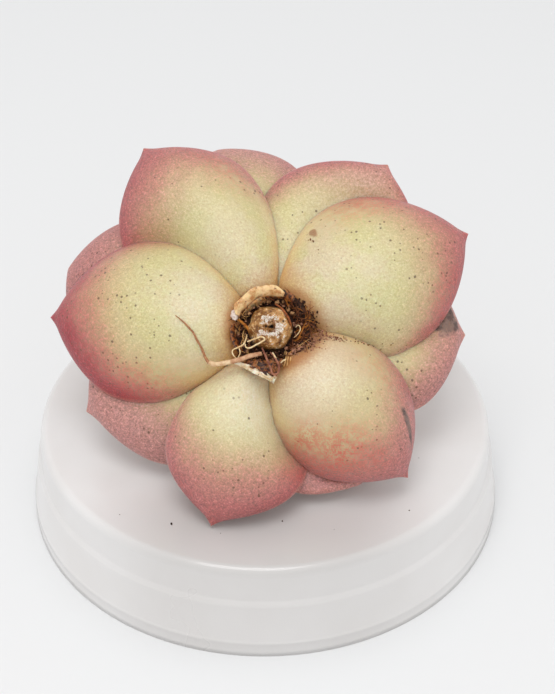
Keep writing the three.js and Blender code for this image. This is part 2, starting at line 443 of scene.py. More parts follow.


# %% [markdown]
# ## The leaf's skin
# The blade is cream at its base, yellow-green in the middle and dusty rose towards its rim and its tip.
# The colours follow the blade, so the shader reads the place on the blade that each vertex carries, and
# noise keeps the borders between the colours from looking drawn. The wax on the skin shows as a fine
# grain. Tiny brown speckles are the middles of the cells of a Voronoi pattern, and only some are kept.
# Light goes into such a plump leaf, so the creases are warm and not grey: that is the subsurface weight.
#
# Each vertex carries five vectors. "blade" is its place: along, side and face. "mood" is where the blush
# starts, how it tilts to one side, and the dried sap. "tint" is the leaf's cream, green and red. "stain" is
# its orange, grey and brown marks. "sheen_and_bloom" is its painted sheen, its dust and how speckled it is.

# %% Leaf material
def leaf_skin():
    s = Shader(
        "leaf_skin", subsurface_weight=0.6, subsurface_scale=0.003, sheen_weight=0.08, sheen_roughness=0.4
    )
    s.surface.inputs["Subsurface Radius"].default_value = (1.0, 0.6, 0.35)
    along, side, _ = s.attribute("blade")
    blush_at, blush_tilt, amber = s.attribute("mood")
    cream, green, red = s.attribute("tint")
    orange, grey, brown = s.attribute("stain")
    white, dusty, speckled = s.attribute("sheen_and_bloom")
    here = s.place()
    patches = s.noise(here, 7, 2)
    mottle = s.noise(here, 1.5, 3, 0.6)
    grain = s.noise(here, 0.5, 3, 0.75)
    fine = s.noise(here, 0.3, 1)
    wax = (grain * 0.6 + fine * 0.4 - 0.5) * 1.8

    # The blush: it starts lower at the sides, and its colour deepens outwards.
    margin = side * side  # 0 along the middle, 1 at the rim
    start = blush_at - 0.14 * margin - 0.2 * margin * margin * margin + blush_tilt * side
    blush = along - start + (patches - 0.5) * 0.16 + (mottle - 0.5) * 0.12 + wax * 0.3
    skin = s.ramp(
        blush + 0.6,
        [
            (0.0, tone(212, 198, 164)),
            (0.24, tone(212, 201, 158)),
            (0.42, tone(207, 194, 146)),
            (0.55, tone(200, 172, 130)),
            (0.66, tone(190, 134, 112)),
            (0.78, tone(180, 104, 98)),
            (0.9, tone(172, 76, 80)),
            (1.0, tone(158, 50, 58)),
        ],
    )

    # The leaf's own tints.
    pale = 1 - blush.between(-0.3, 0.0)
    skin = s.mix(cream * (1 - blush.between(-0.5, -0.15)) * 0.85, skin, tone(214, 190, 160))
    greener = (patches + (mottle - 0.5) * 0.3).between(0.4, 0.65) * pale
    skin = s.mix(green * greener * 0.6, skin, tone(204, 202, 132))
    skin = s.mix(red * blush.between(0.05, 0.35) * 0.75, skin, tone(152, 36, 50))

    # Painted light: the thin rims are painted lighter, as if light showed through them, and a painted warm
    # glow lifts the creases along the rims near the base. The base is amber, dust lies on the blush, and the
    # white marks are a painted sheen.
    skin = s.mix(margin.between(0.6, 1.0) * pale * 0.45, skin, tone(242, 218, 180))
    skin = s.mix(margin.between(0.9, 1.0) * 0.35, skin, tone(222, 176, 160))
    skin = s.mix((1 - along.between(0.02, 0.18)) * 0.65, skin, tone(206, 152, 78))
    # Painted warm light along the rims near the base, where the leaves meet in creases.
    skin = s.mix(margin.between(0.5, 1.0) * (1 - along.between(0.2, 0.35)) * 0.3, skin, tone(226, 176, 104))
    skin = s.mix(dusty * blush.between(-0.25, 0.05) * 0.75, skin, tone(188, 142, 134))
    # Painted sheen: the white marks lighten the skin where the wax would catch the light.
    skin = s.mix((white + (mottle - 0.5) * 0.6 * white) * 0.8, skin, tone(234, 228, 200))

    # The grain of the wax, light and dark.
    skin = s.mix(0.45 + blush.between(-0.35, 0.05) * 0.4, skin, wax + 0.5, blend="OVERLAY")
    skin = s.mix(wax.between(0.08, 0.3) * 0.14, skin, tone(238, 226, 208))

    # Speckles: the middles of a few Voronoi cells, 0.9 mm apart, gathered in patches.
    cells = {"Vector": here, "Scale": 1 / (0.9 * MM)}
    distance = s.node("ShaderNodeTexVoronoi", cells, output="Distance")
    chance = s.node("ShaderNodeTexVoronoi", cells, output="Color")
    chosen = s.node("ShaderNodeSeparateColor", {0: chance}, output=0)
    gathered = (s.noise(here, 5, 1) + speckled).between(0.36, 0.56)
    inside = along.between(0.2, 0.35)
    size = (chosen * gathered).between(0.35, 1.0) * 0.34
    speck = (size - distance + (fine - 0.5) * 0.3).between(0.0, 0.12) * inside
    skin = s.mix(speck * 0.75, skin, s.mix(chosen, tone(150, 96, 60), tone(84, 60, 38)))

    # Marks: orange blotches, grey bruises, brown scars and dried sap.
    skin = s.mix(orange * (mottle * 0.5 + wax * 0.8 + 0.25).between(0.36, 0.6), skin, tone(200, 84, 64))
    bruise = (grey + (mottle + wax * 0.5 - 0.5) * 1.6 * grey).between(0.3, 0.6)
    greys = s.mix(mottle.between(0.45, 0.55), tone(112, 92, 82), tone(58, 48, 44))
    skin = s.mix(bruise * 0.85, skin, greys)
    skin = s.mix((brown + (mottle - 0.5) * brown).between(0.3, 0.7) * 0.75, skin, tone(150, 92, 50))
    sap = (amber + (mottle - 0.5) * 0.5 * amber).between(0.1, 0.95)
    skin = s.mix(sap * 0.85, skin, tone(168, 104, 40))
    rough = 0.44 + wax * 0.12 + (mottle - 0.5) * 0.15
    height = grain * 0.5 + fine * 0.35 + mottle * 0.4
    return s.finish(skin, rough, height, 0.24)


skin_material = leaf_skin()

# %% [markdown]
# ## The rosette
# The leaves are made oldest first. Each younger leaf is bent back from the older ones under it, so the
# plump blades touch without passing through each other. Each has its own blush, and the scars, rubbed
# spots and dried sap of a plant that has been pulled out of its pot. The tables give what is the leaf's
# own, by its place in the spiral, and every other leaf takes the plain values.

# %% Each leaf's own mood and marks
MOODS = {  # where the blush is half-way along the middle, and how much further out it is on one side
    0: (0.68, 0.0),
    1: (0.69, 0.1),
    2: (0.73, -0.03),
    3: (0.66, 0.05),
    4: (0.71, 0.08),
    5: (0.82, -0.08),
    6: (0.68, 0.08),
    7: (0.79, 0.03),
    12: (0.85, 0.0),
}
TINTS = {  # how much cream at the base, green in the middle and red at the tip
    0: (0.9, 0, 0),
    1: (0.25, 0.6, 1),
    2: (0.4, 0.8, 0.2),
    3: (0.6, 0.3, 0),
    4: (0.2, 0.6, 0.2),
    7: (0, 0.8, 0),
}
PLAIN_MOOD = (0.64, 0.03)
PLAIN_TINT = (0.3, 0.2, 0.2)
DUSTY = {0: 0.5, 2: 0.15, 3: 0.4, 4: 0.3, 7: 0.3, 5: 0.8, 6: 1, 8: 1, 9: 0.8, 12: 0.8}  # greyer and duller
SPECKLED = {0: -0.02, 1: 0.06, 2: 0.08, 3: -0.06, 4: -0.07}  # more or fewer brown speckles
# The white marks are painted highlights, where the wax shines; the other marks are the skin's own.
ORANGE, GREY, BROWN, PAINTED_SHEEN = range(4)
MARKS = {  # soft spots, each (kind, along, side, length, width, strength)
    0: [
        (ORANGE, 0.6, 0.55, 0.17, 0.5, 0.8), (ORANGE, 0.42, 0.75, 0.12, 0.35, 0.7),
        (ORANGE, 0.74, 0.3, 0.1, 0.4, 0.5), (ORANGE, 0.4, -0.7, 0.25, 0.25, 0.35),
        (GREY, 0.76, -0.63, 0.13, 0.07, 1.0), (PAINTED_SHEEN, 0.24, 0.1, 0.14, 0.6, 0.5),
        (PAINTED_SHEEN, 0.3, 0.5, 0.1, 0.25, 0.25),
    ],
    1: [(ORANGE, 0.45, -0.8, 0.3, 0.25, 0.4), (PAINTED_SHEEN, 0.2, 0.2, 0.14, 0.6, 0.5)],
    2: [
        (BROWN, 0.17, -0.35, 0.05, 0.12, 0.45), (ORANGE, 0.55, -0.8, 0.22, 0.25, 0.5),
        (ORANGE, 0.75, 0.8, 0.12, 0.3, 0.35), (BROWN, 0.28, -0.82, 0.02, 0.05, 1.6),
        (PAINTED_SHEEN, 0.3, 0.1, 0.25, 0.5, 0.35),
    ],
    3: [(ORANGE, 0.5, -0.85, 0.2, 0.25, 0.3), (PAINTED_SHEEN, 0.3, -0.1, 0.17, 0.7, 0.85)],
    4: [(ORANGE, 0.65, 0.75, 0.2, 0.25, 0.3), (PAINTED_SHEEN, 0.35, 0.0, 0.25, 0.5, 0.3)],
    5: [(GREY, 0.84, -0.3, 0.11, 0.33, 1.3), (GREY, 0.68, -0.1, 0.06, 0.15, 0.6)],
    7: [(PAINTED_SHEEN, 0.6, 0.0, 0.3, 0.5, 0.5)],
}


def paint_leaf(bm, i):
    """Stores the leaf's blush, its tints, its sap stain and its marks on its vertices."""
    blade = bm.verts.layers.float_vector["blade"]
    mood = bm.verts.layers.float_vector.new("mood")
    stain = bm.verts.layers.float_vector.new("stain")
    tint = bm.verts.layers.float_vector.new("tint")
    sheen_and_bloom = bm.verts.layers.float_vector.new("sheen_and_bloom")
    blush_at, tilt = MOODS.get(i, PLAIN_MOOD)
    for vert in bm.verts:
        along, side, face = vert[blade]
        from_stem = math.hypot(vert.co.x, vert.co.y)
        stained = 3.6 + 3 * max(0, vert.co.x / from_stem) ** 2  # the sap reaches further towards +X
        near_cut = 1 - smooth((vert.co.z - 7) / 5)  # and leaves the young leaves clean
        vert[mood] = (blush_at, tilt, near_cut * (1 - smooth((from_stem - 6.6) / stained)))
        vert[tint] = TINTS.get(i, PLAIN_TINT)
        amounts = [0, 0, 0, 0]
        if face < 0.2:
            for kind, at_along, at_side, length, width, strength in MARKS.get(i, []):
                far = math.hypot((along - at_along) / length, (side - at_side) / width)
                amounts[kind] = max(amounts[kind], strength * math.exp(-far * far))
        vert[stain] = amounts[:3]
        vert[sheen_and_bloom] = (amounts[PAINTED_SHEEN], DUSTY.get(i, 0), SPECKLED.get(i, 0))


# %% Grow the leaves
FINE, COARSE = (56, 48), (32, 28)  # segments around a leaf and rings along it
skins = []
for i in range(LEAVES):
    bm = shape_leaf(i, leaf_sizes(i), *(FINE if i in OWN_SIZES else COARSE))
    press_back(bm, skins, leaf_sizes(i)["thickness"])
    paint_leaf(bm, i)
    skins.append(BVHTree.FromBMesh(bm))
    name = f"leaf_{i + 1:02d}"
    finish_piece(f"{name}_skin", bm, skin_material, [name], subdivide=1)
print("grew", LEAVES, "leaves")

# %% [markdown]
# ## Strands
# Roots and fibres are long and thin, so each is a Bezier curve through a few points, given a round
# section. It becomes a mesh at once, and a little noise makes it knobbly, because no root is a clean tube.

# %% A bundle of strands as one piece
def strands(name, paths, material, replaced=(), rough=0.15, turns=8):
    """Each path is a list of (x, y, z, radius), in millimetres in the plant's frame."""
    curve = bpy.data.curves.new(name, "CURVE")
    curve.dimensions = "3D"
    curve.bevel_depth = 1
    curve.bevel_resolution = 1
    curve.use_fill_caps = True
    curve.resolution_u = turns
    for path in paths:
        spline = curve.splines.new("BEZIER")
        spline.bezier_points.add(len(path) - 1)
        for point, (x, y, z, radius) in zip(spline.bezier_points, path):
            point.co = (x, y, z)
            point.radius = radius
            point.handle_left_type = point.handle_right_type = "AUTO"
    holder = bpy.data.objects.new(name, curve)
    bm = bmesh.new()
    bm.from_mesh(bpy.data.meshes.new_from_object(holder))
    bpy.data.objects.remove(holder)
    bmesh.ops.remove_doubles(bm, verts=bm.verts, dist=0.001)  # closes the caps
    bm.normal_update()
    thick = max(radius for path in paths for *_, radius in path)
    for vert in bm.verts:
        vert.co += vert.normal * noise.noise(vert.co * 1.4 / thick**0.5) * rough * thick
    bmesh.ops.recalc_face_normals(bm, faces=bm.faces)
    finish_piece(name, bm, material, replaced)


# %% Root and fibre materials
def dry_fibre(name, dark, light, size_mm=0.8):
    """Dull stringy matter: two browns in streaks, and a coarse grain."""
    s = Shader(name, specular_ior_level=0.25)
    here = s.place()
    streaks = s.noise(here, size_mm, 4, 0.7)
    grain = s.noise(here, size_mm / 5, 2)
    colour = s.mix(streaks.between(0.3, 0.7), dark, light)
    return s.finish(colour, 0.7 + (grain - 0.5) * 0.3, streaks + grain * 0.6, 0.12)


root_material = dry_fibre("root_skin", tone(180, 126, 92), tone(222, 180, 142))
pale_rind_material = dry_fibre("pale_rind", tone(206, 162, 120), tone(236, 208, 168))
thin_root_material = dry_fibre("thin_root_skin", tone(150, 96, 64), tone(190, 138, 100))
pale_root_material = dry_fibre("pale_root_skin", tone(214, 172, 112), tone(246, 228, 188))
dark_fibre_material = dry_fibre("dark_fibre", tone(26, 12, 6), tone(74, 40, 22))
brown_fibre_material = dry_fibre("brown_fibre", tone(74, 36, 18), tone(132, 78, 44))
amber_fibre_material = dry_fibre("amber_fibre", tone(140, 74, 20), tone(196, 128, 52))
tan_fibre_material = dry_fibre("tan_fibre", tone(178, 120, 62), tone(232, 190, 128))
soil_material = dry_fibre("soil", tone(86, 48, 34), tone(206, 150, 118), 0.5)
nub_material = dry_fibre("nubs", tone(96, 58, 32), tone(204, 156, 108), 0.6)

# %% [markdown]
# ## The stub
# The stem was cut clean through. Its bark is a smooth tan-brown rind, the cut has dried to a pale crust
# with a few dark holes in the middle, and its rim has drawn in. It starts from a UV sphere whose rings
# follow a profile, and noise and pits are then pushed into it.

# %% Shape of the stub
STUB_PROFILE = [  # share of the way over, radius, depth behind the cut
    (0, 0, 0.5), (0.16, 1.1, 0.35), (0.36, 2.4, 0.1), (0.48, 3.3, 0.6), (0.57, 3.9, 1.9),
    (0.68, 4.0, 3.6), (0.76, 5.0, 5.2), (0.85, 5.4, 9), (0.94, 2.2, 15), (1, 0, 16),
]
PITS = [  # x, y, radius, depth
    (-0.8, -0.05, 0.3, 0.6), (-0.25, 0.15, 0.25, 0.5), (0.3, 0.05, 0.35, 0.8), (0.75, 0.4, 0.2, 0.4),
    (-0.1, 0.9, 0.2, 0.4), (-1.9, 0.3, 0.25, 0.4), (2.4, -0.9, 0.3, 0.5),
]
# Where the cut is crusted: x, y, half-width, half-height.
CRUST = [(1.5, 0.5, 0.8, 1.4), (-1.6, 1.2, 0.8, 0.7), (0.2, 1.4, 0.9, 0.5), (-0.5, -1.3, 1.2, 0.8)]


def on_profile(profile, share):
    """The radius and the depth at this share of the way over."""
    for (s0, r0, z0), (s1, r1, z1) in zip(profile, profile[1:]):
        if share <= s1:
            part = smooth((share - s0) / (s1 - s0))
            return mix(r0, r1, part), mix(z0, z1, part)
    return profile[-1][1:]


def bumps_at(place, bumps):
    """The sum of round bumps, each (x, y, radius, height)."""
    return sum(
        high * math.exp(-((place.x - x) ** 2 + (place.y - y) ** 2) / wide**2) for x, y, wide, high in bumps
    )


def shape_stub():
    """The stub in the plant's frame, with its crust, its depth and its pits stored on its vertices."""
    bm = bmesh.new()
    bmesh.ops.create_uvsphere(bm, u_segments=110, v_segments=120, radius=1)
    cut = bm.verts.layers.float_vector.new("cut")
    for vert in bm.verts:
        share = math.acos(max(-1, min(1, -vert.co.z))) / math.pi
        turn = math.atan2(vert.co.y, vert.co.x)
        radius, depth = on_profile(STUB_PROFILE, share)
        lump = noise.noise(Vector((math.cos(turn), math.sin(turn), depth / 5)) * 1.9)
        flat = noise.noise(Vector((math.cos(turn) * 4, math.sin(turn) * 4, depth / 3)))
        radius *= 1 + 0.09 * lump + 0.035 * flat
        place = Vector((radius * math.cos(turn), radius * math.sin(turn), depth))
        wrinkle = noise.fractal(place * 1.2, 0.7, 2.1, 4)
        on_face = 1 - smooth((radius - 2.2) / 1.4)
        pit = bumps_at(place, PITS) * on_face
        crust = min(1, sum(
            math.exp(-(((place.x - x) / wide) ** 2 + ((place.y - y) / tall) ** 2))
            for x, y, wide, tall in CRUST
        ))
        place.z += pit + wrinkle * mix(0.16, 0.34, on_face) - crust * on_face * 0.25
        place.x += wrinkle * 0.2 * math.cos(turn) * (1 - on_face)
        place.y += wrinkle * 0.2 * math.sin(turn) * (1 - on_face)
        vert.co = place
        vert[cut] = (crust, depth, pit)
    bmesh.ops.recalc_face_normals(bm, faces=bm.faces)
    return bm


def stub_skin():
    s = Shader("stub_skin", subsurface_weight=0.1, subsurface_scale=0.001)
    crust, depth, pit = s.attribute("cut")
    here = s.place()
    blotch = s.noise(here, 2.6, 3)
    flakes = s.noise(here, 0.8, 4, 0.7)
    grain = s.noise(here, 0.2, 2)
    rind = s.mix(blotch.between(0.4, 0.6), tone(134, 84, 30), tone(206, 152, 90))
    rind = s.mix(flakes.between(0.5, 0.6) * 0.7, rind, tone(230, 188, 128))
    rind = s.mix((1 - flakes.between(0.36, 0.46)) * 0.8, rind, tone(74, 38, 16))
    rind = s.mix(depth.between(1.2, 4.2) * 0.8, rind, tone(58, 34, 12))
    pale = (crust * 0.8 + (flakes - 0.5) * 3.2 + (blotch - 0.5)).between(0.25, 0.6)
    white = s.mix(grain.between(0.35, 0.6), tone(190, 160, 132), tone(242, 236, 226))
    colour = s.mix(pale * 0.92, rind, white)
    # Painted shade: the pits are painted almost black, as shade in the holes.
    hole = (pit + (flakes - 0.5) * 1.4).between(0.22, 0.5) * pit.between(0.05, 0.2)
    colour = s.mix(hole, colour, tone(30, 18, 12))
    return s.finish(colour, 0.42 + (flakes - 0.5) * 0.6, flakes + grain * 0.4, 0.22)


finish_piece("stub_skin", shape_stub(), stub_skin(), ["stem"])
orange_strip = [
    (0.9, -4.3, 1.7, 0.14), (1.9, -3.5, 1.1, 0.2), (2.8, -2.4, 0.9, 0.22), (3.5, -1.1, 1.1, 0.2),
    (3.9, 0.2, 1.8, 0.12),
]
peeling_material = dry_fibre("peeling_bark", tone(104, 48, 22), tone(178, 104, 58))
strands("peeling_bark", [orange_strip], peeling_material)

# %% [markdown]
# ## The torn collar
# Around the stub is a pocket where the lowest leaves were pulled away: a dark bed, and on it scores of
# short broken fibres that point outwards and up, in dark brown, rust and tan. On its upper side the bases
# of old leaves have dried to a papery ring, and below it hangs one pale torn flake.

# %% The dark bed
BED_RADIUS = 7.4


def shape_bed():
    """A flattened sphere that sinks towards its rim and is lumpy all over."""
    bm = bmesh.new()
    bmesh.ops.create_uvsphere(bm, u_segments=72, v_segments=28, radius=1)
    for vert in bm.verts:
        out = math.hypot(vert.co.x, vert.co.y) * BED_RADIUS
        turn = math.atan2(vert.co.y, vert.co.x)
        lumps = noise.fractal(Vector((out * math.cos(turn), out * math.sin(turn), 3)) * 0.9, 0.8, 2, 4)
        height = 4.1 - 1.2 * smooth((out - 4.5) / 2.5) - 0.55 * lumps + vert.co.z * 0.5
        vert.co = Vector((out * math.cos(turn), out * math.sin(turn), height))
    bmesh.ops.recalc_face_normals(bm, faces=bm.faces)
    return bm


finish_piece("collar_bed", shape_bed(), dark_fibre_material, ["root_collar"])


# %% Broken fibres
def fibres(count, seed, thick, reach, low=0.0, high=360.0):
    """Paths of short strands that start by the stub and bend outwards and towards the cut."""
    draw = random.Random(seed)
    paths = []
    for _ in range(count):
        turn = math.radians(draw.uniform(low, high))
        veer = turn + draw.uniform(-0.5, 0.5)
        inner = draw.uniform(4.4, 5.8)
        outer = inner + draw.uniform(0.4, reach)
        rise = draw.uniform(0.6, 2.2)
        bulge = draw.uniform(-0.3, 0.5)
        middle = (inner + outer) / 2 + bulge
        swing = (turn + veer) / 2 + draw.uniform(-0.12, 0.12)
        radius = thick * draw.uniform(0.6, 1.4)
        start = 3.9 - draw.uniform(0, 0.6)
        paths.append([
            (inner * math.cos(turn), inner * math.sin(turn), start, radius),
            (middle * math.cos(swing), middle * math.sin(swing), start - rise * 0.7, radius * 0.9),
            (outer * math.cos(veer), outer * math.sin(veer), start - rise, radius * 0.35),
        ])
    return paths


strands("dark_fibres", fibres(110, 3, 0.13, 2.2), dark_fibre_material, turns=4)
strands("brown_fibres", fibres(70, 5, 0.1, 2.6), brown_fibre_material, turns=4)
strands("brown_fibres_right", fibres(50, 8, 0.09, 3.6, -30, 40), brown_fibre_material, turns=4)
strands("amber_fibres", fibres(26, 15, 0.12, 2.8, -50, 30), amber_fibre_material, turns=4)
strands("tan_fibres", fibres(34, 11, 0.085, 2.2, 40, 215), tan_fibre_material, turns=4)


# %% Papery pieces
def paper_skin(name, tan, cream):
    """Dry plant paper: two pale tones in streaks, and brown where the sheet says so: rot and some painted
    shade.
    """
    s = Shader(name, subsurface_weight=0.25, subsurface_scale=0.0008)
    _, _, browned = s.attribute("sheet")
    here = s.place()
    streaks = s.noise(here, 1.3, 4, 0.65)
    specks = s.noise(here, 0.6, 1)
    rot = s.noise(here, 0.7, 3, 0.7)
    pale = s.mix(streaks.between(0.35, 0.62), tan, cream)
    brown = s.mix(rot.between(0.42, 0.6), tone(48, 22, 10), tone(156, 92, 38))
    # The brown is rot on most pieces, and painted shade along the ring's inner edge and inside the flake.
    colour = s.mix((browned + (streaks - 0.5) * 0.9).between(0.35, 0.7), pale, brown)
    colour = s.mix(specks.between(0.68, 0.73) * 0.8, colour, tone(92, 44, 22))
    return s.finish(colour, 0.55 + (streaks - 0.5) * 0.4, streaks * 0.25 + specks * 0.4 + rot * 0.4, 0.2)


paper_material = paper_skin("dry_paper", tone(192, 134, 76), tone(236, 204, 150))
torn_material = paper_skin("torn_paper", tone(206, 178, 134), tone(240, 230, 208))


def paper_sheet(name, place_of, brown_of, wide, long, thickness, material=paper_material, replaced=()):
    """A thin sheet whose point at (u, v), each 0 to 1, is place_of(u, v), and browned by brown_of(u, v)."""
    bm = bmesh.new()
    bmesh.ops.create_grid(bm, x_segments=wide, y_segments=long, size=0.5)
    sheet = bm.verts.layers.float_vector.new("sheet")
    for vert in bm.verts:
        u, v = vert.co.x + 0.5, vert.co.y + 0.5
        vert.co = place_of(u, v)
        vert[sheet] = (u, v, brown_of(u, v))
    bmesh.ops.solidify(bm, geom=bm.faces, thickness=thickness)
    bmesh.ops.recalc_face_normals(bm, faces=bm.faces)
    finish_piece(name, bm, material, replaced)


def ring_sheet(start, end, inner, outer, top, bottom, seed):
    """Part of the ring of old leaf bases: v = 0 is its outer edge, which stands nearest the cut.

    start and end are headings, inner and outer are radii, and top and bottom are depths behind the cut.
    """

    def place_of(u, v):
        turn = math.radians(mix(start, end, u))
        ragged = noise.noise(Vector((u * 5, seed, 0))) * 0.6 + noise.noise(Vector((u * 17, seed, 3))) * 0.07
        ends = 1 - min(1, 7 * min(u, 1 - u))
        out = mix(outer + ragged * 0.6 - 0.9 * ends, inner + ragged * 0.6 + 0.3 * ends, v)
        crown = 4 * v * (1 - v)
        lift = mix(top, bottom, v**1.3) - 0.35 * crown + noise.noise(Vector((u * 3, v * 2, seed))) * 0.15
        return Vector((out * math.cos(turn), out * math.sin(turn), lift))

    return place_of


def shaded_inner_edge(u, v):
    """Painted shade: brown along the inner edge, where a thin shadow lies."""
    return 0.05 + 0.85 * v**3 + 0.12 * noise.noise(Vector((u * 5, v * 2, 7)))


paper_sheet(
    "leaf_base_ring", ring_sheet(199, 293, 5.5, 7.6, 0.7, 2.2, 1), shaded_inner_edge, 64, 14, 0.4,
    replaced=["dry_leaf_base_ring"],
)
inner_ring = ring_sheet(212, 262, 4.9, 5.9, 1.9, 3.1, 5)
paper_sheet("leaf_base_inner", inner_ring, lambda u, v: 0.5, 30, 8, 0.3)
flap = ring_sheet(286, 312, 5.6, 7.3, 1.5, 3.1, 12)
paper_sheet("leaf_base_flap", flap, lambda u, v: 0.7 + 0.3 * u, 24, 8, 0.25)
left_ring = ring_sheet(140, 186, 6.3, 7.5, 1.7, 3.2, 9)
paper_sheet("leaf_base_left", left_ring, lambda u, v: 0.75, 30, 8, 0.25)


def flake_place(u, v):
    """A ragged triangle that hangs from the pocket's lower side, with one raised corner."""
    left, right, tip = Vector((-7.1, 6.4, 1.9)), Vector((2.8, 5.4, 2.4)), Vector((0.6, 10.5, 0.9))
    base = left.lerp(right, u)
    ragged = noise.noise(Vector((u * 7, v * 7, 4))) * 0.4 + noise.noise(Vector((u * 21, v * 17, 2))) * 0.12
    place = base.lerp(tip, v**0.9)
    place.z += ragged - 0.35 * math.exp(-(((u - 0.08) / 0.12) ** 2))
    return place + Vector((ragged * 0.5, ragged * 0.7, 0))


def flake_brown(u, v):
    """Brown inside, partly its own and partly painted shade of a hollow, and pale along the edges."""
    ragged = 0.08 * noise.noise(Vector((u * 9, v * 9, 11)))
    return smooth((u * (1 - v) - 0.1 + ragged) / 0.12) * (1 - smooth((v - 0.6 + ragged) / 0.2))


paper_sheet("torn_flake", flake_place, flake_brown, 34, 28, 0.18, torn_material, ["dry_leaf_base_flake"])

# %% [markdown]
# ## Roots
# One root is thick enough to have a rind, lies across the pocket and runs out over a leaf, where it thins
# to a hair. The others are pale and fine: one doubled back on itself like a paper clip, one curled.

# %% Roots
def skin_height(x, y):
    """How high the leaves' undersides stand at x, y: the first skin met from the stem's cut end."""
    hits = [tree.ray_cast(Vector((x, y, -ABOVE)), Vector((0, 0, 1)))[0] for tree in skins]
    return min((hit.z for hit in hits if hit is not None), default=4.0)


def laid(points, radii):
    """A path that lies on the leaves' undersides."""
    return [(x, y, skin_height(x, y) - radius * 0.8, radius) for (x, y), radius in zip(points, radii)]


rind_part = [(-1.6, 4.9, 1.3, 0.36), (-3.6, 5.4, 0.9, 0.46), (-5.6, 6.1, 0.8, 0.46), (-7.2, 6.5, 0.9, 0.44)]
bare_part = [
    (-7.0, 6.45, 0.9, 0.46), (-8.6, 6.75, 1.1, 0.46), (-10.2, 6.9, 1.1, 0.44), (-11.2, 6.6, 1.1, 0.36),
]
hair_route = [(-12.2, 4.7), (-12.7, 3.6), (-13.4, 2.4), (-14, 1.2), (-14.9, 0.2), (-16, -0.9), (-17.3, -1.9)]
hair_part = [(-11.1, 6.7, 1.1, 0.34), (-11.7, 5.9, 1.2, 0.26)]
hair_part += laid(hair_route, [0.22, 0.2, 0.2, 0.18, 0.17, 0.14, 0.08])
strands("long_root_skin", [rind_part], root_material, ["long_root"])
strands("long_root_bare", [bare_part], pale_rind_material)
strands("long_root_end", [hair_part], thin_root_material)
clip = [
    (-4.2, 2.85, 0.6, 0.12), (-3.7, 2.7, 0.3, 0.14), (-2.6, 2.35, -0.1, 0.15), (-1.6, 2.1, -0.3, 0.15),
    (-1.05, 2.5, -0.3, 0.15), (-1.6, 3.0, -0.2, 0.15), (-2.6, 3.5, 0, 0.15), (-3.7, 4.0, 0.4, 0.15),
    (-4.4, 3.9, 0.6, 0.14), (-4.6, 3.3, 0.7, 0.12),
]
tail = [
    (-4.3, 1.3, 2.2, 0.1), (-4.5, 2.4, 1.4, 0.15), (-5.0, 3.4, 0.8, 0.15), (-6.0, 3.95, 0.7, 0.15),
    (-6.9, 4.5, 0.9, 0.14), (-6.7, 5.3, 1.0, 0.12), (-6.1, 5.9, 1.1, 0.08),
]
prong = [(-5.7, 4.0, 0.8, 0.1), (-5.5, 4.8, 0.8, 0.12), (-5.9, 5.8, 1.0, 0.08)]
strands("looped_root_skin", [clip, tail, prong], pale_root_material, ["looped_root"])
curl = [
    (4.6, 0, 1.8, 0.06), (5.1, -0.3, 1.3, 0.09), (5.45, 0.3, 1.0, 0.09), (5.1, 1.2, 1.3, 0.09),
    (4.3, 1.9, 2, 0.06),
]
spur = [(0.4, 4.7, 1.6, 0.14), (0.9, 5.7, 1.1, 0.18), (1.2, 6.5, 1.3, 0.12)]
splinter = [(1.9, 6.6, 1.6, 0.1), (2.4, 6.2, 1.2, 0.16), (2.9, 6.0, 1.3, 0.1)]
strands("curled_root_skin", [curl, spur, splinter], pale_root_material, ["curled_root"])
strap = [
    (-1.5, 3.9, 1.4, 0.14), (-0.8, 5.6, 0.8, 0.2), (0, 7.5, 0.4, 0.2), (0.7, 8.9, 0.3, 0.2),
    (1.4, 8.5, 0.3, 0.2), (1.5, 7.2, 0.5, 0.2), (0.9, 5.9, 1.0, 0.18), (0, 4.6, 1.8, 0.12),
]
strap_material = dry_fibre("strap", tone(96, 48, 40), tone(176, 118, 92))
strands("bark_strap", [strap], strap_material, rough=0.4)
straws = [
    [(x, 4.4 + 0.4 * k, 2.6, 0.1), (x - 0.1, 5.8, 1.9, 0.14), (x - 0.4 + 0.1 * k, 7.2, 2.0, 0.08)]
    for k, x in enumerate((2.9, 3.3, 3.8))
]
amber_strip = [(-6.3, -1.7, 2.2, 0.12), (-5.2, -0.9, 1.8, 0.26), (-4.3, 0.0, 1.8, 0.3), (-3.7, 1, 2.2, 0.16)]
strands("amber_strip", [amber_strip], amber_fibre_material, rough=0.4)
strands("tan_straws", straws, tan_fibre_material)

# %% [markdown]
# ## Crumbs
# Dry soil and rotted fibre have crumbled into the creases beside the stub, and a few grains have fallen
# on the leaves and the dish. Each grain is an icosphere pulled out of shape.

# %% Crumbs
def grain(bm, where, size, draw):
    """Adds one grain to a bmesh."""
    made = bmesh.ops.create_icosphere(bm, subdivisions=1, radius=1)["verts"]
    for vert in made:
        vert.co *= draw.uniform(0.7, 1.2)
    stretch = Matrix.Diagonal((size * draw.uniform(0.6, 1.5), size * draw.uniform(0.6, 1.5), size * 0.7, 1))
    bmesh.ops.transform(bm, matrix=Matrix.Translation(where) @ stretch, verts=made)


def crumbs(name, spots, material, replaced=(), in_plant=True):
    """Grains at (x, y, z, size), all in one piece."""
    draw = random.Random(len(spots))
    bm = bmesh.new()
    for x, y, z, size in spots:
        grain(bm, (x, y, z), size, draw)
    finish_piece(name, bm, material, replaced, in_plant=in_plant)


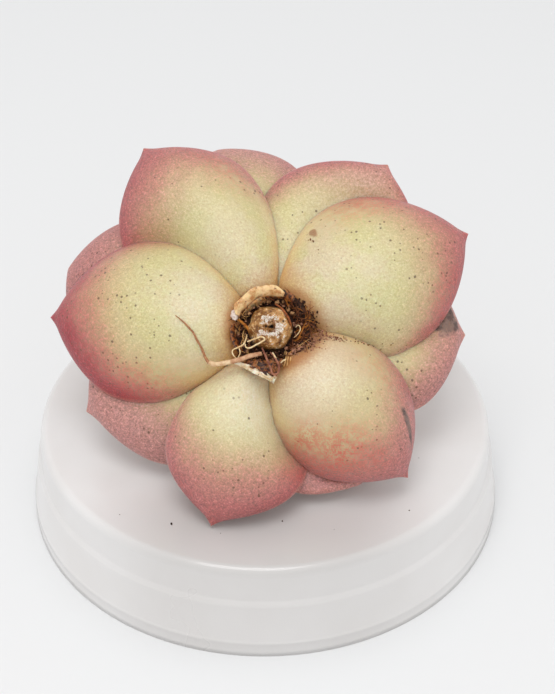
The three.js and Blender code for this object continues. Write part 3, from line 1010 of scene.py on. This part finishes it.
def strewn(count, seed, start, end, spread, size, lowest=4.0):
    """Random spots on the leaves' undersides, thickest at the start of a line from start to end."""
    draw = random.Random(seed)
    spots = []
    for _ in range(count):
        share = draw.random() ** 1.7
        x = mix(start[0], end[0], share) + draw.gauss(0, spread)
        y = mix(start[1], end[1], share) + draw.gauss(0, spread)
        width = size * draw.uniform(0.4, 1.3) * mix(1, 0.6, share)
        spots.append((x, y, min(skin_height(x, y), lowest) - width * 0.3, width))
    return spots


heap = strewn(260, 21, (4.6, 3.6), (10.5, 0.9), 0.75, 0.24) + strewn(90, 24, (9, 1), (14, 1.9), 0.35, 0.17, 9)
crumbs("crumbs_right", heap, soil_material, ["root_crumbs"])
dark_heap = strewn(170, 22, (5.4, -3.6), (8.6, -0.2), 0.7, 0.28) + strewn(70, 26, (5, 3), (8, 2), 0.9, 0.25)
crumbs("crumbs_dark", dark_heap, dark_fibre_material)
trail = strewn(46, 27, (12, 1.6), (24, 2.6), 0.25, 0.16, 12)
trail += strewn(12, 28, (7.4, -17.4), (10, -13), 0.4, 0.16, 12)
crumbs("crumbs_trail", trail, brown_fibre_material)


def collar_spots(count, seed, low, high, size):
    """Spots all round the pocket, between two headings."""
    draw = random.Random(seed)
    spots = []
    for _ in range(count):
        turn = math.radians(draw.uniform(low, high))
        out = draw.uniform(4.4, 6.6)
        depth = draw.uniform(2.4, 3.4)
        width = size * draw.uniform(0.4, 1.3)
        spots.append((out * math.cos(turn), out * math.sin(turn), depth, width))
    return spots


crumbs("crumbs_round", collar_spots(120, 23, 0, 360, 0.28), soil_material)
crumbs("root_nubs", collar_spots(40, 29, 200, 330, 0.36), nub_material)

# %% The white callus
CALLUS_AT, CALLUS_HALVES = Vector((-6.5, -2.3, 1.5)), Vector((0.72, 0.9, 0.6))
bm = bmesh.new()
bmesh.ops.create_icosphere(bm, subdivisions=4, radius=1)
for vert in bm.verts:
    vert.co *= 1 + 0.3 * noise.fractal(vert.co * 1.3, 0.8, 2, 3)
    vert.co = CALLUS_AT + vert.co * CALLUS_HALVES
callus_material = dry_fibre("callus", tone(206, 176, 160), tone(244, 232, 222), 0.5)
finish_piece("white_callus_skin", bm, callus_material, ["white_callus"])

# %% [markdown]
# ## The dish
# It is a thin moulded tub of milky plastic, standing on its rim. Its closed top is flat, its corner is
# rounded, its wall steps out a little under half-way down, and a fine bead runs round above the rim. All
# of that is one profile, spun once round the axis.

# %% Shape of the dish
def shape_dish():
    """The profile, out over the top and down the outside, then up the inside, in radius and height."""
    low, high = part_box("dish")
    foot = (high.x - low.x) / 2 / MM
    height = high.z / MM
    top, wall, corner = foot - 2.5, 1.3, 1.8
    step = height * 0.59
    outside = [(0, height)]
    for k in range(9):
        a = math.radians(90 - k * 11)
        outside.append((top - corner + corner * math.cos(a), height - corner + corner * math.sin(a)))
    outside += [(top + 0.35, step + 1.1), (top + 0.5, step + 0.7), (top + 1.0, step + 0.25)]
    outside += [(top + 1.15, step - 0.3), (foot - 0.5, 3.6)]
    outside += [(foot - 0.3, 3.3), (foot - 0.12, 3.0), (foot - 0.25, 2.6), (foot - 0.12, 1.2), (foot, 0)]
    inside = [(foot - wall, 0), (foot - wall - 0.5, 2.2), (top + 0.9 - wall, step - 0.6)]
    inside += [(top - wall, step + 0.3), (top - wall - 0.3, height - 2.4)]
    inside += [(top - wall - 1.2, height - wall), (0, height - wall)]
    bm = bmesh.new()
    line = [bm.verts.new((r * MM, 0, z * MM)) for r, z in outside + inside]
    edges = [bm.edges.new(pair) for pair in zip(line, line[1:])]
    bmesh.ops.spin(
        bm, geom=line + edges, axis=(0, 0, 1), cent=(0, 0, 0), angle=2 * math.pi, steps=144, use_merge=True,
    )
    bmesh.ops.remove_doubles(bm, verts=bm.verts, dist=1e-6)
    bmesh.ops.recalc_face_normals(bm, faces=bm.faces)
    return bm


def milky_plastic():
    """Milky plastic, with a painted shadow of the plant on its top in front, half as strong on its wall."""
    s = Shader("milky_plastic", transmission_weight=0.1, ior=1.45, coat_weight=0.6, coat_roughness=0.12)
    here = s.place()
    cloud = s.noise(here, 22, 3)
    frost = s.noise(here, 0.25, 2)
    depth = s.node("ShaderNodeSeparateXYZ", {0: here}, output="Y") / -MM  # in front of the middle
    across = s.node("ShaderNodeSeparateXYZ", {0: here}, output="X") / MM
    wall = 1 - s.node("ShaderNodeSeparateXYZ", {0: here}, output="Z").between(17.5 * MM, 19 * MM)
    # Painted shadow: the top in front of the plant is darkened, half as much on the wall.
    shade = depth.between(15, 36) * (1 - abs(across).between(14, 40)) * (1 - wall * 0.5)
    colour = s.mix(cloud.between(0.3, 0.7), tone(233, 230, 228), tone(239, 237, 236))
    colour = s.mix(shade * 0.9, colour, tone(206, 203, 201))
    return s.finish(colour, 0.3 + (cloud - 0.5) * 0.16, frost, 0.02)


finish_piece("dish_shell", shape_dish(), milky_plastic(), ["dish"], in_plant=False)

# %% Grains on the dish
on_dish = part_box("dish")[1].z
dropped = [  # x, y and size, in metres in the row's frame
    (-0.0172, -0.0325, 0.0003), (0.0034, -0.0318, 0.00022), (0.0019, -0.0266, 0.0003),
    (0.0272, -0.0289, 0.0002), (-0.027, -0.03, 0.00012), (0.013, -0.034, 0.0001),
    (-0.008, -0.035, 0.0001), (0.03, -0.014, 0.0001),
]
grains = [(x, y, on_dish, size) for x, y, size in dropped]
crumbs("grains_on_dish", grains, dark_fibre_material, in_plant=False)

# %% Sizes before and after
new_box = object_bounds()
as_lists = [[list(corner) for corner in corners] for corners in (cad_box, new_box)]
print("box now:", as_lists[1])
